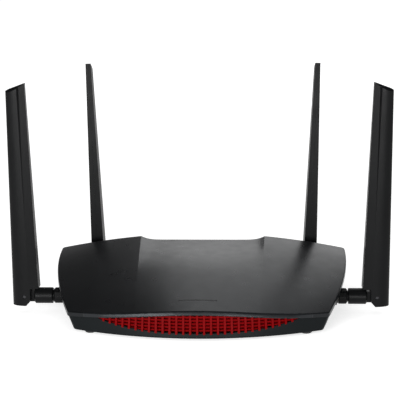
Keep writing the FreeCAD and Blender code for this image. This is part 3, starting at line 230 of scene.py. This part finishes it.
# The sprung contacts, the tongue and the pin inside the sockets.
GOLD = MATERIALS["contact_gold"]
LAN_MIDDLES = (-4, 10, 24, 38)
WAN_MIDDLE = -27.5
USB_MIDDLE = -47.5
SOCKET_WIRE_PITCH = 1.02
SOCKET_WIRES = [SOCKET_WIRE_PITCH * (k - 3.5) for k in range(8)]
SOCKET_WIRE_PATH = [(35.2, 19.15), (43.6, 19.15), (44.9, 18.75), (45.0, 18.1), (43.8, 17.3),
                    (39.0, 15.2), (37.2, 14.6)]
SOCKET_WIRE_SIZE = 0.46, 0.22
USB_WIRES = -3.5, -1.0, 1.0, 3.5
USB_WIRE_PATH = [(34.0, 12.46), (41.5, 12.46), (42.6, 12.22), (43.6, 12.24), (44.6, 12.46)]
USB_WIRE_SIZE = 1.0, 0.16
TONGUE_HALF_WIDTH = 5.49
TONGUE_BACK, TONGUE_FRONT = 31.5, 45.26
TONGUE_BOTTOM, TONGUE_TOP = 12.51, 14.49
TONGUE_EDGE = 0.12
INLET = -61.5, 13.75
INLET_SLEEVE = [(1.09, 36.2), (1.09, 42.9), (1.0, 43.3), (0.7, 43.6), (0.2, 43.72)]

# The printed numbers over the sockets, and the marks on the rocker.
REAR_WALL = 47.2
NUMBER_BASE = 23.2
NUMBER_HEIGHT = 3.0
NUMBER_DEPTH = 0.05
ROCKER_PIVOT = 58.5, 46.6, 18.0
MARK_PROUD = 0.06
ON_FACE = 0.33
ON_BAR = 2.1, 4.3
ON_BAR_WIDTH = 0.5
OFF_FACE = 0.326, 0.046
OFF_SLOPE = 1.724, -6.02
OFF_DISTANCE = 3.1
OFF_RING = 0.75, 1.15
OFF_RING_STEPS = 36

# Dark crosses in the heads of the case screws: painted shade in place of the cross recesses, which
# are not hollowed out.
CASE_SCREWS = (-78, -45.6), (78, -45.6), (-86, 25.9), (86, 25.9)
SCREW_HEAD_FACE = 1.6
CROSS_REACH, CROSS_HALF_WIDTH = 1.7, 0.34
CROSS_BELOW, CROSS_ABOVE = 0.04, 0.3

# The lip over the grille: where it is looked for, and how far it leans out.
LIP_HALF_WIDTH = 79.0
LIP_STEPS = 60
LIP_TAPER_STEPS = 12
LIP_SCAN_START, LIP_SCAN_END, LIP_SCAN = 8, 26, 0.1
LIP_LOOK_FROM = -200
LIP_FILLET = 0.7
LIP_LEAN, LIP_LEAST_LEAN = 0.8, 0.02
LIP_SINK = 0.5


def new_piece(name, body, material, points, faces):
    """A mesh in millimetres, riding on a body."""
    mesh = bpy.data.meshes.new(name)
    mesh.from_pydata([tuple(MM * part for part in point) for point in points], [], faces)
    mesh.update()
    piece = bpy.data.objects.new(name, mesh)
    bpy.context.scene.collection.objects.link(piece)
    mesh.materials.append(material)
    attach(piece, body)
    return piece


def swept(points, faces, sections):
    """Add a closed strip through equal rings of points, with its two ends filled."""
    first, count = len(points), len(sections[0])
    for ring in sections:
        points.extend(ring)
    for step in range(len(sections) - 1):
        for side in range(count):
            after = (side + 1) % count
            low = first + step * count
            faces.append((low + side, low + after, low + count + after, low + count + side))
    faces.append(tuple(first + side for side in reversed(range(count))))
    last = first + (len(sections) - 1) * count
    faces.append(tuple(last + side for side in range(count)))


def lip_band(cover, across):
    """The place and the lower and upper edges of the lip's upright face, at one x."""
    wall = []
    for level in range(int(LIP_SCAN_START / LIP_SCAN), int(LIP_SCAN_END / LIP_SCAN)):
        height = level * LIP_SCAN
        start = Vector((across, LIP_LOOK_FROM, height)) * MM
        hit = cover.ray_cast(start, Vector((0, 1, 0)))[0]
        if hit is not None:
            wall.append((hit.y / MM, height))
    front = min(place for place, height in wall)
    band = [height for place, height in wall if place < front + LIP_FILLET]
    return front, min(band), max(band)


def lip_bead():
    """The lip over the grille leans out towards its lower edge, and so catches the light.

    Its back lies inside the cover's wall, which is found by looking at the cover from the front."""
    cover = BVHTree.FromObject(NODES["top_cover"], bpy.context.evaluated_depsgraph_get())
    sections = []
    for step in range(-LIP_STEPS, LIP_STEPS + 1):
        across = LIP_HALF_WIDTH * step / LIP_STEPS
        front, low, high = lip_band(cover, across)
        share = min(1.0, (LIP_STEPS - abs(step)) / LIP_TAPER_STEPS)
        lean = LIP_LEAN * share * share * (3 - 2 * share) + LIP_LEAST_LEAN
        sections.append([(across, front + LIP_SINK, high - 0.2),
                         (across, front + 0.10, high - 0.12),
                         (across, front - 0.35 * lean, high - 0.35 * (high - low)),
                         (across, front - 0.85 * lean, high - 0.78 * (high - low)),
                         (across, front - lean, low + 0.22),
                         (across, front - 0.8 * lean, low + 0.05),
                         (across, front + LIP_SINK, low + 0.02)])
    points, faces = [], []
    swept(points, faces, sections)
    piece = new_piece("cover_lip_bead", "router_body", MATERIALS["cover_black"],
                      points, faces)
    for polygon in piece.data.polygons:
        polygon.use_smooth = len(polygon.vertices) == 4


def bent_strip(points, faces, across, path, wide, thick):
    """A flat metal strip of a given width, following a path of (y, z) places at one x."""
    sections = []
    for index, (y, z) in enumerate(path):
        before = Vector(path[max(index - 1, 0)])
        after = Vector(path[min(index + 1, len(path) - 1)])
        along = (after - before).normalized()
        out = Vector((-along.y, along.x)) * thick / 2
        sections.append([(across + side * wide / 2, y + lift * out.x, z + lift * out.y)
                         for side, lift in ((-1, -1), (1, -1), (1, 1), (-1, 1))])
    swept(points, faces, sections)


def contacts(name, middles, offsets, path, size):
    """The sprung contacts of one or more sockets."""
    points, faces = [], []
    for middle in middles:
        for offset in offsets:
            bent_strip(points, faces, middle + offset, path, *size)
    new_piece(name, "router_body", GOLD, points, faces)


def tube(name, body, material, centre, rings, sides=28):
    """A turned piece along Y: rings of (radius, y), closed at both ends."""
    points, faces, sections = [], [], []
    for radius, y in rings:
        sections.append([(centre[0] + radius * math.cos(2 * math.pi * k / sides), y,
                          centre[1] + radius * math.sin(2 * math.pi * k / sides))
                         for k in range(sides)])
    swept(points, faces, sections)
    new_piece(name, body, material, points, faces)


def soft_block(name, material, low, high, edge):
    """A block with bevelled edges, between two corners."""
    points = [tuple((low, high)[(corner >> axis) & 1][axis] for axis in range(3))
              for corner in range(8)]
    faces = [(0, 2, 3, 1), (4, 5, 7, 6), (0, 1, 5, 4), (2, 6, 7, 3), (0, 4, 6, 2), (1, 3, 7, 5)]
    piece = new_piece(name, "router_body", material, points, faces)
    bevel = piece.modifiers.new("edges", "BEVEL")
    bevel.width, bevel.segments = edge * MM, 2


def rocker_marks():
    """A raised bar on the pressed half of the rocker and a raised ring on the other half."""
    paint = MATERIALS["mark_white"]
    x, y, z = ROCKER_PIVOT
    bar = [(y + ON_FACE, z + height) for height in ON_BAR]
    points, faces = [], []
    bent_strip(points, faces, x, bar, ON_BAR_WIDTH, 2 * MARK_PROUD)
    new_piece("rocker_on_mark", "power_rocker", paint, points, faces)
    slope = Vector(OFF_SLOPE).normalized()
    out = Vector((-slope.y, slope.x))
    middle = Vector((y + OFF_FACE[0], z + OFF_FACE[1])) + slope * OFF_DISTANCE
    inner, outer = OFF_RING
    points, faces = [], []
    for k in range(OFF_RING_STEPS):
        turn = 2 * math.pi * k / OFF_RING_STEPS
        for radius, lift in ((inner, -1), (outer, -1), (outer, 1), (inner, 1)):
            place = middle + slope * radius * math.sin(turn) + out * lift * MARK_PROUD
            points.append((x + radius * math.cos(turn), place.x, place.y))
    for k in range(OFF_RING_STEPS):
        for side in range(4):
            after = (side + 1) % 4
            nxt = 4 * ((k + 1) % OFF_RING_STEPS)
            faces.append((4 * k + side, nxt + side, nxt + after, 4 * k + after))
    new_piece("rocker_off_mark", "power_rocker", paint, points, faces)


def socket_number(number, across):
    """A plain printed number on the rear panel, above its socket."""
    name = "port_number_%d" % number
    text = bpy.data.curves.new(name, "FONT")
    text.body = str(number)
    text.size = NUMBER_HEIGHT * MM
    text.extrude = NUMBER_DEPTH * MM
    text.align_x = "CENTER"
    label = bpy.data.objects.new(name, text)
    label.location = Vector((across, REAR_WALL, NUMBER_BASE)) * MM
    label.rotation_euler = (math.pi / 2, 0, math.pi)
    bpy.context.scene.collection.objects.link(label)
    text.materials.append(MATERIALS["mark_white"])
    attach(label, "router_body")


def screw_crosses():
    """A dark cross in the head of each case screw, seen from below: painted shade in place of the
    cross recess's depth.
    """
    points, faces = [], []
    for x, y in CASE_SCREWS:
        for half_x, half_y in ((CROSS_REACH, CROSS_HALF_WIDTH), (CROSS_HALF_WIDTH, CROSS_REACH)):
            first = len(points)
            for z in (SCREW_HEAD_FACE - CROSS_BELOW, SCREW_HEAD_FACE + CROSS_ABOVE):
                points.extend([(x - half_x, y - half_y, z), (x + half_x, y - half_y, z),
                               (x + half_x, y + half_y, z), (x - half_x, y + half_y, z)])
            faces.extend([tuple(first + k for k in face) for face in
                          ((0, 3, 2, 1), (4, 5, 6, 7), (0, 1, 5, 4), (1, 2, 6, 5), (2, 3, 7, 6),
                           (3, 0, 4, 7))])
    new_piece("case_screw_recess_shade", "router_body", MATERIALS["recess_dark"],
              points, faces)


contacts("lan_contacts", LAN_MIDDLES, SOCKET_WIRES, SOCKET_WIRE_PATH, SOCKET_WIRE_SIZE)
contacts("wan_contacts", (WAN_MIDDLE,), SOCKET_WIRES, SOCKET_WIRE_PATH, SOCKET_WIRE_SIZE)
contacts("usb_contacts", (USB_MIDDLE,), USB_WIRES, USB_WIRE_PATH, USB_WIRE_SIZE)
soft_block("usb_tongue_insert", MATERIALS["chip_black"],
           (USB_MIDDLE - TONGUE_HALF_WIDTH, TONGUE_BACK, TONGUE_BOTTOM),
           (USB_MIDDLE + TONGUE_HALF_WIDTH, TONGUE_FRONT, TONGUE_TOP), TONGUE_EDGE)
tube("inlet_pin_sleeve", "router_body", MATERIALS["nickel"], INLET, INLET_SLEEVE)
rocker_marks()
for index, middle in enumerate(LAN_MIDDLES):
    socket_number(len(LAN_MIDDLES) - index, middle)
screw_crosses()
lip_bead()


# ---------------------------------------------------------------- stage, lights and camera
# Places and sizes here are in metres, but for the camera's place and lens, in millimetres.

FLOOR_HALF_WIDTH = 6.0
FLOOR_GREY = 0.72
FLOOR_ROUGHNESS = 0.9
FLOOR_GLOW = 0.68
WORLD_FILL = 0.50
WALL_TOP = math.radians(6), math.radians(14)
CEILING = 0.07
LAMPS_AIM = 0, 0, 0.08
SENSOR_WIDTH = 36.0
LENS = 108.5
CLIP = 0.01, 50
CAMERA_PLACE = 29.8, -858.1, 276.8
CAMERA_YAW, CAMERA_PITCH, CAMERA_ROLL = -0.03509, math.radians(13.009), 0.00778


def mixed_by_ray(tree, rays, usual, special):
    """The special shader for rays of the named kinds, and the usual one for the others."""
    path = tree.nodes.new("ShaderNodeLightPath")
    share = path.outputs[rays[0]]
    for kind in rays[1:]:
        either = tree.nodes.new("ShaderNodeMath")
        either.operation = "MAXIMUM"
        tree.links.new(share, either.inputs[0])
        tree.links.new(path.outputs[kind], either.inputs[1])
        share = either.outputs[0]
    mix = tree.nodes.new("ShaderNodeMixShader")
    tree.links.new(share, mix.inputs["Fac"])
    tree.links.new(usual, mix.inputs[1])
    tree.links.new(special, mix.inputs[2])
    return mix.outputs[0]


def make_floor():
    """A wide white floor that shows white, and a little darker where the router shades it."""
    half = FLOOR_HALF_WIDTH
    mesh = bpy.data.meshes.new("floor")
    mesh.from_pydata([(-half, -half, 0), (half, -half, 0), (half, half, 0), (-half, half, 0)], [],
                     [(0, 1, 2, 3)])
    floor = bpy.data.objects.new("floor", mesh)
    bpy.context.scene.collection.objects.link(floor)
    material = bpy.data.materials.new("floor_white")
    material.use_nodes = True
    tree = material.node_tree
    shader = tree.nodes["Principled BSDF"]
    shader.inputs["Base Color"].default_value = (*(FLOOR_GREY,) * 3, 1)
    shader.inputs["Roughness"].default_value = FLOOR_ROUGHNESS
    shader.inputs["Specular IOR Level"].default_value = 0.0
    glow = tree.nodes.new("ShaderNodeEmission")
    glow.inputs["Strength"].default_value = FLOOR_GLOW
    both = tree.nodes.new("ShaderNodeAddShader")
    tree.links.new(shader.outputs[0], both.inputs[0])
    tree.links.new(glow.outputs[0], both.inputs[1])
    seen = mixed_by_ray(tree, ("Is Camera Ray", "Is Glossy Ray", "Is Transmission Ray"),
                        shader.outputs[0], both.outputs[0])
    tree.links.new(seen, tree.nodes["Material Output"].inputs["Surface"])
    floor.data.materials.append(material)


def make_world():
    """A white studio wall up to a little above the horizon, under a dim ceiling.

    The camera sees white all round. Gloss and glass show the wall and the ceiling. Matt surfaces
    get an even fill."""
    world = bpy.data.worlds.new("studio")
    bpy.context.scene.world = world
    world.use_nodes = True
    tree = world.node_tree
    fill = tree.nodes["Background"]
    fill.inputs["Color"].default_value = WHITE
    fill.inputs["Strength"].default_value = WORLD_FILL
    direction = tree.nodes.new("ShaderNodeSeparateXYZ")
    tree.links.new(tree.nodes.new("ShaderNodeTexCoord").outputs["Generated"],
                   direction.inputs[0])
    wall = tree.nodes.new("ShaderNodeMapRange")
    for key, number in (("From Min", math.sin(WALL_TOP[0])), ("From Max", math.sin(WALL_TOP[1])),
                        ("To Min", 1.0), ("To Max", CEILING)):
        wall.inputs[key].default_value = number
    tree.links.new(direction.outputs["Z"], wall.inputs["Value"])
    mirrored = tree.nodes.new("ShaderNodeBackground")
    mirrored.inputs["Color"].default_value = WHITE
    tree.links.new(wall.outputs["Result"], mirrored.inputs["Strength"])
    white = tree.nodes.new("ShaderNodeBackground")
    white.inputs["Color"].default_value = WHITE
    white.inputs["Strength"].default_value = 1.0
    glossy = mixed_by_ray(tree, ("Is Glossy Ray", "Is Transmission Ray"), fill.outputs[0],
                          mirrored.outputs[0])
    whole = mixed_by_ray(tree, ("Is Camera Ray",), glossy, white.outputs[0])
    tree.links.new(whole, tree.nodes["World Output"].inputs["Surface"])


def softbox(name, azimuth, elevation, distance, size, radiance):
    """A rectangular lamp facing the router. Azimuth is from the rear, clockwise from above."""
    turn, rise = math.radians(azimuth), math.radians(elevation)
    away = Vector((math.sin(turn) * math.cos(rise), math.cos(turn) * math.cos(rise),
                   math.sin(rise)))
    lamp = bpy.data.lights.new(name, "AREA")
    lamp.shape = "RECTANGLE"
    lamp.size, lamp.size_y = size
    lamp.energy = radiance * math.pi * size[0] * size[1]
    lamp_object = bpy.data.objects.new(name, lamp)
    lamp_object.location = Vector(LAMPS_AIM) + away * distance
    lamp_object.rotation_mode = "QUATERNION"
    lamp_object.rotation_quaternion = away.to_track_quat("Z", "Y")
    lamp_object.visible_camera = False
    bpy.context.scene.collection.objects.link(lamp_object)
    return lamp_object


def shade_cover(lamps):
    """Flag these lamps off the top cover, which would mirror them in the views from behind."""
    shaded = bpy.data.collections.new("flagged_off")
    shaded.objects.link(NODES["top_cover"])
    shaded.collection_objects[0].light_linking.link_state = "EXCLUDE"
    for lamp in lamps:
        lamp.light_linking.receiver_collection = shaded


def make_camera():
    """The photograph's view: from the front, a little above, through a long lens."""
    camera = bpy.data.cameras.new("camera")
    camera.sensor_width = SENSOR_WIDTH
    camera.lens = LENS
    camera.clip_start, camera.clip_end = CLIP
    camera_object = bpy.data.objects.new("camera", camera)
    bpy.context.scene.collection.objects.link(camera_object)
    bpy.context.scene.camera = camera_object
    yaw, pitch, roll = CAMERA_YAW, CAMERA_PITCH, CAMERA_ROLL
    forward = Vector((math.sin(yaw) * math.cos(pitch), math.cos(yaw) * math.cos(pitch),
                      -math.sin(pitch)))
    level = Vector((math.cos(yaw), -math.sin(yaw), 0))
    upright = level.cross(forward)
    right = level * math.cos(roll) - upright * math.sin(roll)
    up = level * math.sin(roll) + upright * math.cos(roll)
    camera_object.location = Vector(CAMERA_PLACE) * MM
    camera_object.rotation_mode = "QUATERNION"
    camera_object.rotation_quaternion = Matrix((right, up, -forward)).transposed().to_quaternion()


make_floor()
make_world()
# Azimuth and elevation in degrees, distance, width and height, radiance.
softbox("rear_softbox", 6, 35, 1.4, (0.64, 1.55), 1.26)
shade_cover([softbox("left_softbox", -150, 18, 1.4, (0.5, 0.4), 9.0),
             softbox("left_low_softbox", -163, 2.5, 1.15, (0.26, 0.22), 18.0),
             softbox("right_low_softbox", 166, 2.5, 1.13, (0.26, 0.22), 16.0)])
make_camera()
bpy.context.scene.view_settings.view_transform = "Standard"
